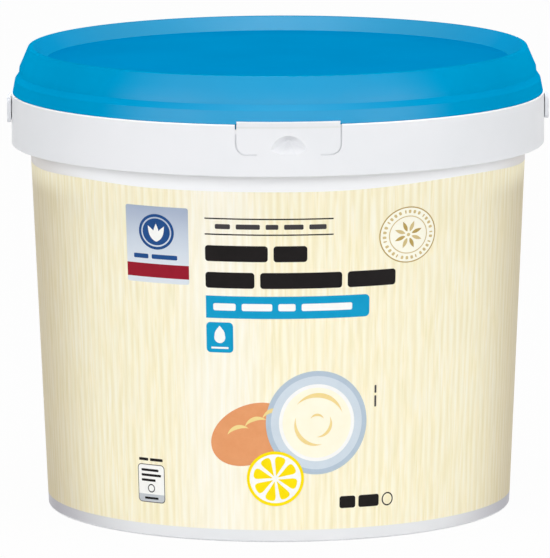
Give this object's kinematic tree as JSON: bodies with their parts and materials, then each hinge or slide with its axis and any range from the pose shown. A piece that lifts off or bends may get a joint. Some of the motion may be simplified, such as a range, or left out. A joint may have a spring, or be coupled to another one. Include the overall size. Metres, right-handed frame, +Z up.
{
  "type": "mayonnaise bucket",
  "caption": "Shut round plastic bucket of mayonnaise: tapered container with a deep collar and tamper tab, blue lid with a stacking rim, printed film and a strap handle parked at the back.",
  "frame": {"origin": "middle of the base, on the surface that the bucket stands on", "axes": "+Z up along the bucket's axis, -Y towards the tamper tab, X through the handle's two studs"},
  "size_m": [0.2888, 0.2883, 0.2464],
  "materials": {
    "container": "white moulded polypropylene, satin",
    "lid": "blue moulded polypropylene, satin",
    "film": "printed polypropylene film, cream with fine upright streaks",
    "strap": "white moulded polypropylene, satin"
  },
  "bodies": {
    "root": {"bucket": "container", "lid": "lid", "label": "film", "handle": "strap"}
  },
  "joints": []
}
